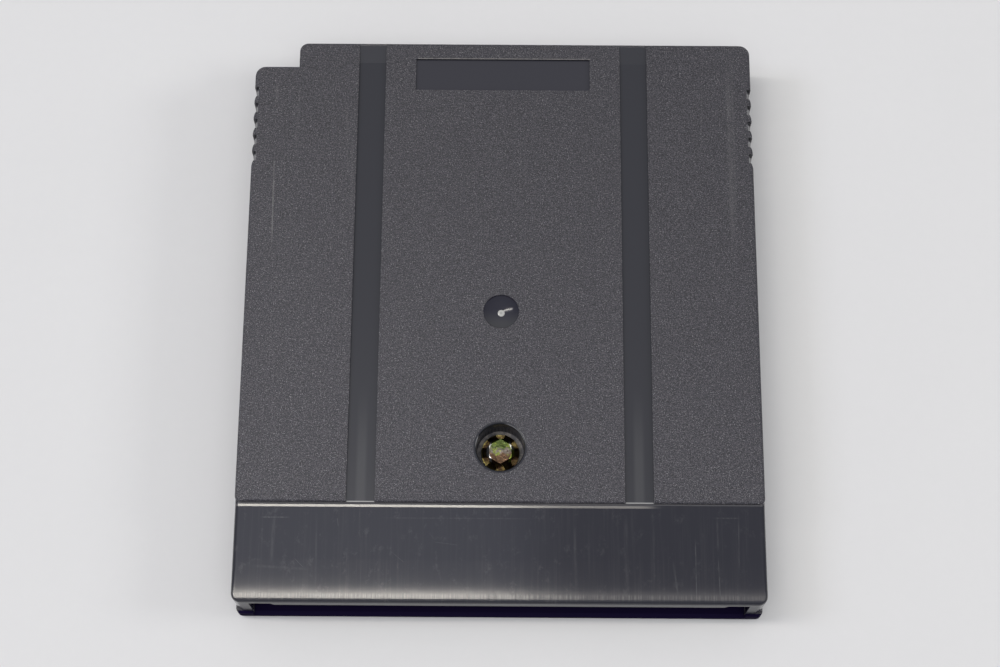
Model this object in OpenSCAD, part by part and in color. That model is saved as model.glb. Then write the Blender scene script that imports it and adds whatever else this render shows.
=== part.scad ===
// Game cartridge for a handheld console, lying on its label face with its back up.
// The mouth is at -Y, the top edge at +Y, and the table is at z = 0. All sizes are in millimetres.

/* [Case] */
// Width of the case
case_w = 57; // [55.5:0.5:62]
// Length from the mouth to the top edge
case_l = 65.5; // [64.5:0.5:72]
// Thickness from the label face to the back face
case_t = 7.8; // [7.6:0.1:9]
// Height of the parting line above the label face
split_z = 2; // [1.8:0.1:2.4]
// Thickness of the side walls
side_wall = 1.85; // [1.6:0.05:2.2]
// Thickness of the back wall
back_wall = 1.5; // [1.3:0.1:1.7]
// Thickness of the front wall
front_wall = 1.3; // [1.1:0.1:1.5]
// Plan radius of the band's two corners at the mouth
mouth_corner_r = 1; // [0.8:0.1:2]
// Plan radius of the label face's two corners at the mouth
front_corner_r = 0.6; // [0.5:0.1:1.5]
// Plan radius of the corners at the top edge
top_corner_r = 1.2; // [0.8:0.1:1.6]
// Rounding of the edges of the back face
back_edge_r = 0.3; // [0.2:0.05:0.5]
// Rounding of the edges of the label face
label_edge_r = 0.5; // [0.3:0.05:0.7]
// Width of the corner notch that the console's power switch slides into
notch_w = 5; // [3:0.5:6]
// Length of the corner notch
notch_l = 3; // [2:0.25:3.5]

/* [Mouth band] */
// Length of the smooth band, from the mouth to the step
band_l = 11.1; // [9:0.1:12]
// How far the band lies below the back face
band_drop = 0.5; // [0.3:0.05:0.7]
// Rounding of the outer edges of the band
band_edge_r = 0.5; // [0.3:0.05:0.7]
// Length over which the band curves down to the mouth
crown_l = 4.6; // [3:0.1:6]
// How far the band curves down at the mouth
crown_drop = 0.1; // [0.05:0.01:0.2]
// How far the back shell stops short of the front shell at the mouth
mouth_setback = 0.3; // [0:0.05:0.6]
// Plan radius of the raised face's corners at the step
step_corner_r = 0.6; // [0.5:0.05:1]
// Radius of the hollow fillet at the foot of the step
step_fillet_r = 0.2; // [0.1:0.05:0.3]
// Width of the thick lip in the mouth
lip_w = 48; // [46:0.2:50]
// Length of the lip, along the cartridge
lip_l = 1.3; // [0.8:0.1:1.5]
// How far the lip hangs below the inside of the back wall
lip_h = 0.7; // [0.3:0.1:1]

/* [Back face] */
// Distance between the centres of the two guide grooves
groove_spacing = 30; // [26:0.5:36]
// Width of a guide groove
groove_w = 3.1; // [2:0.1:4]
// Depth of a guide groove
groove_depth = 0.3; // [0.2:0.05:0.5]
// Length over which a groove's floor rises at the top edge
groove_ramp_l = 2.4; // [1:0.1:4]
// Width of the smooth recessed plate
plate_w = 20; // [16:0.5:24]
// Length of the plate, along the cartridge
plate_l = 3.9; // [3:0.1:5]
// Depth of the plate
plate_depth = 0.25; // [0.1:0.05:0.4]
// Distance from the top edge to the plate
plate_inset = 2; // [1:0.1:3]
// Distance from the mouth to the gate dimple
dimple_y = 32.75; // [28:0.25:40]
// Diameter of the gate dimple
dimple_d = 4; // [3:0.1:5]
// Depth of the gate dimple
dimple_depth = 0.7; // [0.4:0.05:0.8]
// Diameter of the gate mark left in the dimple
gate_d = 0.75; // [0.5:0.05:1.2]
// Height of the gate mark above the bottom of the dimple
gate_h = 0.1; // [0.05:0.01:0.2]

/* [Grips] */
// Number of grip notches on each side
grip_count = 5; // [3:1:6]
// Distance from one grip notch to the next
grip_pitch = 2; // [1.6:0.05:2.2]
// Distance from the top edge to the deepest point of the first notch
grip_inset = 6.8; // [6:0.1:8]
// Length of the slope that runs into a notch from the top edge's side
grip_slope_l = 1.15; // [0.9:0.05:1.3]
// Length of the rounded end that follows the notch
grip_round_l = 0.8; // [0.5:0.05:0.85]
// Depth of a notch in the side wall
grip_depth = 0.25; // [0.1:0.01:0.35]
// How far the slanted facet of a notch reaches into the back face
facet_depth = 0.5; // [0.3:0.05:0.7]
// Height of the slanted facet
facet_h = 1.5; // [1:0.1:3]
// Depth of the grip lines on the label face
grip_line_depth = 0.4; // [0.2:0.05:0.6]

/* [Label face] */
// Width of the recess for the label
label_w = 42.5; // [38:0.5:46]
// Length of the recess for the label
label_l = 37.5; // [32:0.5:40]
// Distance from the mouth to the label recess
label_y = 8.2; // [7.5:0.1:9]
// Depth of the label recess
label_depth = 0.3; // [0.1:0.05:0.5]
// Width of the title recess above the label
title_w = 36; // [30:0.5:38]
// Length of the title recess, along the cartridge
title_l = 7.4; // [5:0.2:8]
// Depth of the title recess
title_depth = 0.3; // [0.1:0.05:0.5]
// Width of the triangle that shows which end goes in first
arrow_w = 7; // [4:0.5:9]
// Height of that triangle
arrow_l = 3.6; // [2:0.2:4.4]
// Depth of the triangle
arrow_depth = 0.25; // [0.1:0.05:0.4]

/* [Screw] */
// Distance from the mouth to the screw
screw_y = 17.25; // [16.5:0.25:18]
// Diameter of the screw's recess
recess_d = 5.2; // [4.8:0.1:5.8]
// Depth of the screw's recess
recess_depth = 3; // [2.6:0.1:3.1]
// Thickness of the floor that the head clamps
seat_t = 1; // [0.8:0.1:1.2]
// Diameter of the screw's head
head_d = 4.15; // [3.8:0.05:4.5]
// Height of the screw's head
head_h = 1.15; // [0.9:0.05:1.6]
// Width of the flat top of the head, across its six slopes
head_flat_w = 2.4; // [2:0.1:2.8]
// Number of round notches in the head
head_notches = 6; // [6:1:6]
// Radius of a round notch in the head
head_notch_r = 0.48; // [0.3:0.02:0.55]
// Outer diameter of the thread
thread_d = 2; // [1.8:0.05:2.2]
// Pitch of the thread ridges
thread_pitch = 0.7; // [0.5:0.05:0.9]
// Length of the screw below its head
screw_l = 3.2; // [2.8:0.1:3.3]

/* [Board] */
// Thickness of the circuit board
board_t = 0.8; // [0.6:0.1:1]
// Room for the chips between the front wall and the board
chip_room = 2.9; // [2.7:0.1:3]
// How far the board's edge lies inside the mouth
board_setback = 2.6; // [2.4:0.1:3]
// Distance from the board's far edge to the top edge of the case
board_top_gap = 7; // [6:0.5:8]
// Number of contact pads
pad_count = 32; // [24:1:32]
// Distance from one pad to the next
pad_pitch = 1.5; // [1.3:0.05:1.5]
// Width of a pad
pad_w = 1; // [0.6:0.05:1.1]
// Length of a pad
pad_l = 7; // [5:0.5:8]
// Thickness of the plating on a pad
pad_t = 0.05; // [0.03:0.01:0.1]

/* [Chips] */
// Width of the game memory, the largest chip
rom_w = 20.5; // [19:0.5:20.5]
// Length of its body
rom_l = 11.3; // [10:0.1:11.5]
// Length over its leads
rom_span = 14.1; // [13:0.1:14.5]
// Number of leads on each of its sides
rom_lead_count = 16; // [12:1:16]
// Width of the bank switching chip
mapper_w = 15.4; // [12:0.2:15.6]
// Length of its body
mapper_l = 7.5; // [6:0.1:8]
// Length over its leads
mapper_span = 10.3; // [9.5:0.1:11]
// Number of leads on each of its sides
mapper_lead_count = 12; // [8:1:12]
// Width of the memory that keeps saved games
ram_w = 18; // [16:0.5:18]
// Length of its body
ram_l = 8.4; // [7:0.1:8.6]
// Length over its leads
ram_span = 11.8; // [11:0.1:12]
// Number of leads on each of its sides
ram_lead_count = 14; // [10:1:14]
// Width of the chip that switches the memory over to the cell
supervisor_w = 5; // [4:0.1:5]
// Length of its body
supervisor_l = 4.4; // [3.6:0.1:4.4]
// Length over its leads
supervisor_span = 6.2; // [5.8:0.1:6.2]
// Number of leads on each of its sides
supervisor_lead_count = 4; // [2:1:4]
// Width of a chip lead
lead_w = 0.4; // [0.3:0.05:0.5]
// Thickness of a chip lead
lead_t = 0.2; // [0.15:0.05:0.25]
// Distance from one lead to the next
lead_pitch = 1.27; // [1:0.01:1.27]
// Height of the chips above the board
chip_h = 2.3; // [1.8:0.1:2.5]
// Gap between a chip and the board
chip_gap = 0.1; // [0.05:0.05:0.2]

/* [Coin cell] */
// Diameter of the coin cell
cell_d = 16; // [14:0.5:16.5]
// Thickness of the coin cell
cell_t = 1.6; // [1.4:0.1:1.8]
// Sheet thickness of the cell's can
can_t = 0.25; // [0.2:0.05:0.3]
// Thickness of the welded tabs
tab_t = 0.15; // [0.1:0.05:0.2]
// Width of the welded tabs
tab_w = 3.5; // [2.5:0.5:5]

/* [Fits] */
// Running clearance between the two shells
fit = 0.1; // [0.05:0.01:0.2]
// Clearance between the board's edge and the front shell's tongue
board_clearance = 0.35; // [0.2:0.05:0.6]
// Thickness of the tongue that locates the front shell
tongue_t = 0.8; // [0.6:0.05:1]
// Height of the tongue above the parting line
tongue_h = 0.8; // [0.5:0.1:1]
// Height of the snap hooks above the front wall
hook_h = 2.6; // [2.4:0.1:2.8]
// Length of a snap hook, along the cartridge
hook_l = 6; // [4:0.5:8]
// How far a snap hook reaches into the side wall
hook_bite = 0.25; // [0.15:0.05:0.4]

/* [Hidden] */
$fn = 64;

// Overlap that keeps a cut from ending exactly on a face
eps = 0.5;
// How far ribs, bosses and lips are sunk into the wall that carries them
sink = 0.2;

half_w = case_w / 2;
inner_w = half_w - side_wall;
notch_x = -half_w + notch_w;
notch_y = case_l - notch_l;
band_z = case_t - band_drop;
ceiling_z = case_t - back_wall;
board_z = front_wall + chip_room;
board_top_z = board_z + board_t;
seat_z = case_t - recess_depth;
post_z = seat_z - seat_t;
board_half_w = inner_w - fit - tongue_t - board_clearance;
board_end_y = case_l - board_top_gap;
grip_y = [for (i = [0 : grip_count - 1]) case_l - grip_inset - i * grip_pitch];

// Screw post
post_wall = 1;
post_d = recess_d + 2 * post_wall;
boss_wall = 1.3;
boss_d = thread_d + 2 * boss_wall;
shank_gap = 0.2;
shank_hole_d = thread_d + 2 * shank_gap;
thread_gap = 0.02;
boss_floor = 0.15;
boss_rib_t = 0.8;
boss_rib_l = 5.5;
boss_rib_h = 1.2;
recess_rim = 0.2;

// Screw
head_edge_h = 0.4;
flange_h = 0.3;
head_notch_inset = 0.17;
dish_depth = 0.12;
core_depth = 0.25;
tip_bevel = 0.2;
tip_l = 0.4;

// Ribs and pins that seat the board
seat_rib_w = 1;
seat_rib_margin = 1.2;
seat_rib_x = board_half_w - seat_rib_margin;
seat_rib_start = 2;
seat_rib_y = band_l + seat_rib_start;
seat_rib_inset = 1;
seat_rib_end = board_end_y - seat_rib_inset;
pin_margin = 3.9;
pin_x = board_half_w - pin_margin;
pin_d = 1.9;
pin_shoulder_d = 3.4;
pin_hole_gap = 0.1;
post_hole_gap = 0.3;
board_bevel = 0.2;
pad_inset = 0.5;
support_d = 2.4;
support_margin = 2.1;
support_x = board_half_w - support_margin;
support_low_y = 12.5;
support_top_inset = 2;

// Hooks and their pockets
first_hook_y = 24;
hook_spacing = 22;
hook_y = [first_hook_y, first_hook_y + hook_spacing];
hook_tip = 0.7;
tongue_start = 1;
tongue_y = band_l + tongue_start;

// Grip notch
grip_round_r = 1.6;
grip_line_gap = 2;

// Front and back details
band_overlap = 3;
notch_corner_r = 1;
mouth_chamfer = 0.4;
label_corner_r = 2;
arrow_gap = 1.4;
title_inset = 1.2;
title_y = grip_y[0] + grip_slope_l - title_inset - title_l;
groove_end_depth = 0.06;

// The chips stand in two rows, spread evenly between the screw post and the board's far edge
post_end_y = screw_y + post_d / 2 + post_hole_gap;
row_gap = (board_end_y - post_end_y - rom_span - cell_d) / 3;
row_1_y = post_end_y + row_gap + rom_span / 2;
row_2_y = board_end_y - row_gap - cell_d / 2;
rom_x = -10.5;
ram_x = -13;
ram_offset = 1;
cell_margin = 11.4;
cell_place = [board_half_w - cell_margin, row_2_y];
supervisor_beside = 12.4;
supervisor_below = 5.8;

// Each chip: width, length, span over the leads, leads on each side, place
rom = [rom_w, rom_l, rom_span, rom_lead_count, [rom_x, row_1_y]];
mapper = [mapper_w, mapper_l, mapper_span, mapper_lead_count, [cell_place[0], row_1_y]];
ram = [ram_w, ram_l, ram_span, ram_lead_count, [ram_x, row_2_y - ram_offset]];
supervisor = [supervisor_w, supervisor_l, supervisor_span, supervisor_lead_count,
              cell_place - [supervisor_beside, supervisor_below]];
chip_bevel = 0.25;
lead_shoulder = 0.35;
lead_slant = 0.1;
pin_mark_r = 0.45;
pin_mark_inset = 1.5;
pin_mark_depth = 0.1;
body_skin = 0.02;

// Cell
cell_lift = 0.3;
gasket_t = 0.45;
gasket_proud = 0.05;
can_crimp = 0.35;
can_bevel = 0.3;
crimp_rise = 0.15;
crimp_lip = 0.4;
tab_reach = 2;
tab_side_gap = 0.35;
tab_run_out = 1;
tab_foot_l = 1.6;
tab_drop_l = 0.6;

// Small chip parts: length, width, height and end cap, then their places
capacitor_l = 2;
capacitor_w = 1.25;
capacitor_h = 0.9;
capacitor_cap_l = 0.4;
capacitor_size = [capacitor_l, capacitor_w, capacitor_h, capacitor_cap_l];
resistor_l = 1.6;
resistor_w = 0.8;
resistor_h = 0.5;
resistor_cap_l = 0.3;
resistor_size = [resistor_l, resistor_w, resistor_h, resistor_cap_l];
small_x = (rom_x + rom_w / 2 + cell_place[0] - mapper_w / 2) / 2;
small_pitch = 4;
small_inset = 1.5;
small_end_y = board_end_y - small_inset;
capacitor_places = [
    for (i = [-1 : 1]) [small_x, row_1_y + i * small_pitch],
    [-2.5 * small_pitch, small_end_y]
];
resistor_places = [[-small_pitch, small_end_y], [0, small_end_y], [3 * small_pitch, post_end_y]];

case_colour = [0.33, 0.33, 0.35];
front_colour = [0.27, 0.27, 0.3];
plating_colour = [0.66, 0.63, 0.3];
laminate_colour = [0.08, 0.3, 0.16];
gold_colour = [0.85, 0.68, 0.3];
resin_colour = [0.07, 0.07, 0.08];
tin_colour = [0.75, 0.75, 0.76];
steel_colour = [0.7, 0.71, 0.73];
nylon_colour = [0.85, 0.85, 0.82];
ceramic_colour = [0.62, 0.5, 0.36];

// Outlines are lists of right-angled corners [x, y, plan radius], anticlockwise
function case_outline(y, r) = [
    [-half_w, y, r], [half_w, y, r],
    [half_w, case_l, top_corner_r], [notch_x, case_l, notch_corner_r],
    [notch_x, notch_y, 0], [-half_w, notch_y, top_corner_r]
];
function band_outline(y) = [
    [-half_w, mouth_setback, mouth_corner_r], [half_w, mouth_setback, mouth_corner_r],
    [half_w, y, 0], [-half_w, y, 0]
];

function corner(o, i) = let (p = o[(i + len(o)) % len(o)]) [p[0], p[1]];
function radius(o, i) = o[(i + len(o)) % len(o)][2];
function heading(o, i) = let (d = corner(o, i + 1) - corner(o, i)) d / norm(d);
function outward(d) = [d[1], -d[0]];
function is_convex(o, i) = cross(heading(o, i - 1), heading(o, i)) > 0;
function rim_w(o) = max([for (p = o) p[2]]);
// How far a straight edge stops before a convex corner, or runs on past a hollow one
function trim(o, i) = is_convex(o, i) ? radius(o, i) : -rim_w(o);

// Section of a slab's rim: square below, with its outer upper edge rounded
module rim_section(w, h, r) {
    square([w, h - r]);
    if (w > r) square([w - r, h]);
    if (r > 0) translate([w - r, h - r]) intersection() {
        circle(r = r);
        square(r);
    }
}

module rim_edge(o, i, h, r) {
    d = heading(o, i);
    run = norm(corner(o, i + 1) - corner(o, i)) - trim(o, i) - trim(o, i + 1);
    translate(corner(o, i) + trim(o, i) * d - rim_w(o) * outward(d))
        rotate(atan2(d[1], d[0]) - 90)
            translate([0, run, 0]) rotate([90, 0, 0])
                linear_extrude(run) rim_section(rim_w(o), h, r);
}

module rim_corner(o, i, h, r) {
    before = heading(o, i - 1);
    after = heading(o, i);
    translate(corner(o, i) - radius(o, i) * (outward(before) + outward(after)))
        rotate(atan2(before[1], before[0]) - 90)
            rotate_extrude(angle = 90) rim_section(radius(o, i), h, r);
}

// Slab over an outline, with the edge of its upper face rounded all the way round
module rounded_slab(o, h, r) {
    linear_extrude(h) polygon([
        for (i = [0 : len(o) - 1])
            corner(o, i) - rim_w(o) * (outward(heading(o, i - 1)) + outward(heading(o, i)))
    ]);
    for (i = [0 : len(o) - 1]) {
        rim_edge(o, i, h, r);
        if (is_convex(o, i) && radius(o, i) > 0) rim_corner(o, i, h, r);
    }
}

// Inside of the side walls, narrowed by a gap, open at the mouth from y
module inner_plan(gap, y) {
    x = inner_w - gap;
    top = case_l - side_wall - gap;
    polygon([
        [-x, y], [x, y], [x, top], [notch_x + side_wall + gap, top],
        [notch_x + side_wall + gap, notch_y - side_wall - gap], [-x, notch_y - side_wall - gap]
    ]);
}

module rounded_rect(w, l, r) {
    translate([-w / 2 + r, 0]) square([w - 2 * r, l]);
    translate([-w / 2, r]) square([w, l - 2 * r]);
    for (x = [-w / 2 + r, w / 2 - r], y = [r, l - r]) translate([x, y]) circle(r = r);
}

// Rectangle with half-round ends
module pill(w, l) {
    translate([(l - w) / 2, 0]) square([w - l, l]);
    for (x = [(l - w) / 2, (w - l) / 2]) translate([x, l / 2]) circle(d = l);
}

// A section in Y and Z, extruded across the cartridge from x0 to x1
module across(x0, x1) {
    translate([x0, 0, 0]) rotate([90, 0, 90]) linear_extrude(x1 - x0) children();
}

// A section in X and Z, extruded along the cartridge from y0 to y1
module along(y0, y1) {
    translate([0, y1, 0]) rotate([90, 0, 0]) linear_extrude(y1 - y0) children();
}

module both_sides() {
    children();
    mirror([1, 0, 0]) children();
}

// Plan of a grip notch: a slope down to its deepest point, then a rounded end
module grip_plan() {
    chord = norm([grip_depth, grip_round_l]);
    middle = [-grip_depth, -grip_round_l] / 2;
    inwards = [-grip_round_l, -grip_depth] / chord;
    difference() {
        polygon([
            [eps, grip_slope_l], [0, grip_slope_l], [-grip_depth, 0],
            [-grip_depth, -grip_round_l], [eps, -grip_round_l]
        ]);
        translate(middle + sqrt(grip_round_r * grip_round_r - chord * chord / 4) * inwards)
            circle(r = grip_round_r);
    }
}

// Grip notches down the whole height of both sides
module grip_notches() {
    both_sides() for (y = grip_y)
        translate([half_w, y, -eps]) linear_extrude(case_t + 2 * eps) grip_plan();
}

// Slanted facets where the notches meet the back face
module grip_facets() {
    both_sides() for (y = grip_y) along(y, y + grip_slope_l) polygon([
        [half_w - facet_depth, case_t], [half_w, case_t - facet_h],
        [half_w + eps, case_t - facet_h], [half_w + eps, case_t + eps],
        [half_w - facet_depth, case_t + eps]
    ]);
}

// The band's upper face curves down towards the mouth
module band_crown() {
    bend = (crown_l * crown_l + crown_drop * crown_drop) / (2 * crown_drop);
    start = mouth_setback + crown_l;
    across(-half_w - eps, half_w + eps) difference() {
        translate([-eps, band_z - eps]) square([start + eps, 2 * eps]);
        translate([start, band_z - bend]) circle(r = bend, $fn = 1440);
    }
}

// Hollow fillet at the foot of the step
module step_fillet() {
    across(-half_w + step_corner_r, half_w - step_corner_r) difference() {
        translate([band_l - step_fillet_r, band_z - eps]) square(step_fillet_r + eps);
        translate([band_l - step_fillet_r, band_z + step_fillet_r]) circle(r = step_fillet_r);
    }
}

module guide_grooves() {
    both_sides() across(groove_spacing / 2 - groove_w / 2, groove_spacing / 2 + groove_w / 2)
        polygon([
            [band_l - eps, case_t - groove_depth],
            [case_l - groove_ramp_l, case_t - groove_depth],
            [case_l + eps, case_t - groove_end_depth],
            [case_l + eps, case_t + eps],
            [band_l - eps, case_t + eps]
        ]);
}

module name_plate() {
    translate([-plate_w / 2, case_l - plate_inset - plate_l, case_t - plate_depth])
        cube([plate_w, plate_l, plate_depth + eps]);
}

module gate_dimple() {
    ball_r = (dimple_d * dimple_d / 4 + dimple_depth * dimple_depth) / (2 * dimple_depth);
    translate([0, dimple_y, case_t - dimple_depth + ball_r]) sphere(r = ball_r, $fn = 128);
}

// Mark left in the dimple where the moulding was fed
module gate_mark() {
    translate([0, dimple_y, case_t - dimple_depth]) rotate_extrude()
        polygon([
            [0, -sink], [gate_d / 2, -sink], [gate_d / 2, gate_h / 2],
            [gate_d / 3, gate_h], [0, gate_h]
        ]);
}

// Recess for the head, with a softened rim, and the hole for the shank
module screw_recess() {
    r = recess_d / 2;
    translate([0, screw_y, 0]) {
        translate([0, 0, seat_z]) cylinder(d = recess_d, h = recess_depth + eps);
        translate([0, 0, post_z - eps]) cylinder(d = shank_hole_d, h = seat_t + 2 * eps);
        rotate_extrude() translate([r, case_t - recess_rim]) difference() {
            translate([-eps, 0]) square([eps + recess_rim, eps + recess_rim]);
            translate([recess_rim, 0]) circle(r = recess_rim);
        }
    }
}

// Lip across the mouth, with slanted ends
module mouth_lip() {
    foot = (lip_w + lip_h) / 2;
    along(mouth_setback, mouth_setback + lip_l) polygon([
        [-foot, ceiling_z + sink], [-foot, ceiling_z],
        [-lip_w / 2, ceiling_z - lip_h], [lip_w / 2, ceiling_z - lip_h],
        [foot, ceiling_z], [foot, ceiling_z + sink]
    ]);
}

// Ribs that the board lies against, and the pins that locate it
module back_ribs() {
    rib_h = ceiling_z - board_top_z + sink;
    for (x = [-seat_rib_x, seat_rib_x])
        translate([x - seat_rib_w / 2, seat_rib_y, board_top_z])
            cube([seat_rib_w, seat_rib_end - seat_rib_y, rib_h]);
    for (y = [screw_y, seat_rib_end])
        translate([-seat_rib_x, y - seat_rib_w / 2, board_top_z])
            cube([2 * seat_rib_x, seat_rib_w, rib_h]);
    translate([0, screw_y, post_z]) cylinder(d = post_d, h = ceiling_z - post_z + sink);
    for (x = [-pin_x, pin_x]) translate([x, screw_y, 0]) {
        translate([0, 0, board_top_z]) cylinder(d = pin_shoulder_d, h = rib_h);
        translate([0, 0, board_z + board_t / 4]) cylinder(d = pin_d, h = board_t);
    }
}

// Pockets in the side walls that the snap hooks spring into
module hook_pockets() {
    both_sides() for (y = hook_y)
        translate([inner_w - eps, y - hook_l / 2 - fit, front_wall + hook_h - 2 * hook_tip])
            cube([eps + hook_bite + fit, hook_l + 2 * fit, 2 * hook_tip + fit]);
}

module back_shell() {
    color(case_colour) difference() {
        union() {
            difference() {
                union() {
                    translate([0, 0, split_z])
                        rounded_slab(band_outline(band_l + band_overlap), band_z - split_z, band_edge_r);
                    translate([0, 0, split_z])
                        rounded_slab(case_outline(band_l, step_corner_r), case_t - split_z, back_edge_r);
                    step_fillet();
                }
                translate([0, 0, split_z - eps])
                    linear_extrude(ceiling_z - split_z + eps) inner_plan(0, -eps);
                band_crown();
                guide_grooves();
                name_plate();
                gate_dimple();
                grip_notches();
                grip_facets();
            }
            gate_mark();
            mouth_lip();
            back_ribs();
        }
        screw_recess();
        hook_pockets();
    }
}

// Lines cut across the label face, in step with the grip notches
module grip_lines() {
    both_sides() for (y = grip_y)
        across(title_w / 2 + grip_line_gap, half_w + eps)
            polygon([
                [y, -eps], [y, grip_line_depth],
                [y + grip_slope_l, 0], [y + grip_slope_l, -eps]
            ]);
}

module label_face_cuts() {
    translate([0, label_y, -eps]) linear_extrude(label_depth + eps)
        rounded_rect(label_w, label_l, label_corner_r);
    translate([0, title_y, -eps]) linear_extrude(title_depth + eps)
        pill(title_w, title_l);
    translate([0, label_y - arrow_gap, -eps]) linear_extrude(arrow_depth + eps)
        polygon([[-arrow_w / 2, 0], [0, -arrow_l], [arrow_w / 2, 0]]);
}

// Tongue that fits inside the back shell, with its snap hooks
module tongue() {
    translate([0, 0, front_wall - sink]) linear_extrude(split_z - front_wall + tongue_h + sink)
        difference() {
            inner_plan(fit, tongue_y);
            inner_plan(fit + tongue_t, tongue_y - eps);
        }
    tip_z = front_wall + hook_h;
    x = inner_w - fit;
    both_sides() for (y = hook_y) along(y - hook_l / 2, y + hook_l / 2) polygon([
        [x - tongue_t, front_wall - sink], [x, front_wall - sink],
        [x, tip_z - hook_tip], [x + hook_bite, tip_z - hook_tip / 2],
        [x, tip_z], [x - tongue_t, tip_z]
    ]);
}

// Boss that the screw bites into, with its four gussets
module screw_boss() {
    translate([0, screw_y, front_wall - sink]) {
        cylinder(d = boss_d, h = post_z - front_wall + sink);
        for (a = [0, 90])
            rotate(a) translate([-boss_rib_l, -boss_rib_t / 2, 0])
                cube([2 * boss_rib_l, boss_rib_t, boss_rib_h + sink]);
    }
}

module board_supports() {
    for (x = [-support_x, support_x], y = [support_low_y, board_end_y - support_top_inset])
        translate([x, y, front_wall - sink]) cylinder(d = support_d, h = chip_room + sink);
}

module front_shell() {
    color(front_colour) difference() {
        union() {
            difference() {
                translate([0, 0, split_z]) mirror([0, 0, 1])
                    rounded_slab(case_outline(0, front_corner_r), split_z, label_edge_r);
                translate([0, 0, front_wall]) linear_extrude(split_z) inner_plan(0, -eps);
                label_face_cuts();
                grip_notches();
                grip_lines();
                across(-inner_w, inner_w) polygon([
                    [-eps, front_wall + eps], [-eps, front_wall - mouth_chamfer - eps],
                    [mouth_chamfer + eps, front_wall + eps]
                ]);
            }
            tongue();
            screw_boss();
            board_supports();
        }
        translate([0, screw_y, seat_z - screw_l - boss_floor])
            cylinder(d = thread_d + 2 * thread_gap, h = screw_l + boss_floor);
    }
}

// Cut that slopes the head from its flat top down to its edge, on one side
module head_slope() {
    r = head_d / 2;
    drop = (head_h - head_edge_h) / (r - head_flat_w / 2);
    along(-r, r) polygon([
        [head_flat_w / 2, head_h], [r + eps, head_edge_h - drop * eps],
        [r + eps, head_h + eps], [head_flat_w / 2, head_h + eps]
    ]);
}

// Screw with six round notches between the slopes of its head, and ridges for its thread
module security_screw() {
    core_r = thread_d / 2 - core_depth;
    ridges = floor((screw_l - 1) / thread_pitch);
    color(plating_colour) translate([0, screw_y, seat_z]) difference() {
        union() {
            cylinder(d = head_d, h = head_h);
            translate([0, 0, -screw_l]) rotate_extrude() polygon(concat(
                [[0, 0], [core_r - tip_bevel, 0]],
                [for (k = [0 : ridges - 1], s = [0 : 2])
                    let (z = tip_l + k * thread_pitch)
                    [s == 1 ? thread_d / 2 : core_r, z + s * thread_pitch / 3]],
                [[core_r, screw_l + sink], [0, screw_l + sink]]
            ));
        }
        for (i = [0 : head_notches - 1]) rotate(i * 360 / head_notches) {
            head_slope();
            rotate(180 / head_notches) translate([head_d / 2 - head_notch_inset, 0, flange_h])
                cylinder(r = head_notch_r, h = head_h);
        }
        translate([0, 0, head_h - dish_depth]) cylinder(d = head_d / 3, h = head_h);
    }
}

module circuit_board() {
    color(laminate_colour) difference() {
        across(-board_half_w, board_half_w) polygon([
            [board_setback, board_z + board_bevel], [board_setback + board_bevel, board_z],
            [board_end_y, board_z], [board_end_y, board_top_z],
            [board_setback + board_bevel, board_top_z], [board_setback, board_top_z - board_bevel]
        ]);
        translate([0, screw_y, board_z - eps])
            cylinder(d = post_d + 2 * post_hole_gap, h = board_t + 2 * eps);
        for (x = [-pin_x, pin_x]) translate([x, screw_y, board_z - eps])
            cylinder(d = pin_d + 2 * pin_hole_gap, h = board_t + 2 * eps);
    }
}

// Places a part on the board's chip side, with its own +Z pointing away from the board
module on_board(place) {
    translate([place[0], place[1], board_z]) mirror([0, 0, 1]) children();
}

module edge_contacts() {
    color(gold_colour) for (i = [0 : pad_count - 1])
        on_board([(i - (pad_count - 1) / 2) * pad_pitch, board_setback + pad_inset])
            translate([-pad_w / 2, 0, 0]) cube([pad_w, pad_l, pad_t]);
}

module box_on(l, w, z0, z1) {
    translate([-l / 2, -w / 2, z0]) cube([l, w, z1 - z0]);
}

// Moulded chip body, widest at the plane of its leads, with a round mark at pin one
module chip_body(chip) {
    mid = (chip_gap + chip_h) / 2;
    color(resin_colour) on_board(chip[4]) difference() {
        hull() {
            box_on(chip[0], chip[1], mid - lead_t / 2, mid + lead_t / 2);
            box_on(chip[0] - 2 * chip_bevel, chip[1] - 2 * chip_bevel, chip_gap, chip_gap + body_skin);
            box_on(chip[0] - 2 * chip_bevel, chip[1] - 2 * chip_bevel, chip_h - body_skin, chip_h);
        }
        translate([pin_mark_inset - chip[0] / 2, pin_mark_inset - chip[1] / 2, chip_h - pin_mark_depth])
            cylinder(r = pin_mark_r, h = chip_h, $fn = 24);
    }
}

// Gull-wing leads along both long sides of a chip
module chip_leads(chip) {
    mid = (chip_gap + chip_h) / 2;
    reach = (chip[2] - chip[1]) / 2;
    knee = lead_shoulder + lead_t;
    color(tin_colour) on_board(chip[4])
        for (side = [0, 180], i = [0 : chip[3] - 1]) rotate(side)
            translate([(i - (chip[3] - 1) / 2) * lead_pitch, chip[1] / 2, 0])
                across(-lead_w / 2, lead_w / 2) polygon([
                    [0, mid - lead_t / 2], [0, mid + lead_t / 2], [knee, mid + lead_t / 2],
                    [knee + lead_slant, lead_t], [reach, lead_t], [reach, 0],
                    [lead_shoulder + lead_slant, 0], [lead_shoulder, mid - lead_t / 2]
                ]);
}

// Heights inside the cell, measured from the board
cap_z = cell_lift + tab_t;
can_z = cap_z + cell_t;
fill_z = can_z - can_t;
crimp_z = cap_z + crimp_rise;
can_r = cell_d / 2;
inside_r = can_r - can_t;
crimp_r = can_r - can_t - can_crimp;
cap_r = inside_r - gasket_t - can_crimp;

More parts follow.
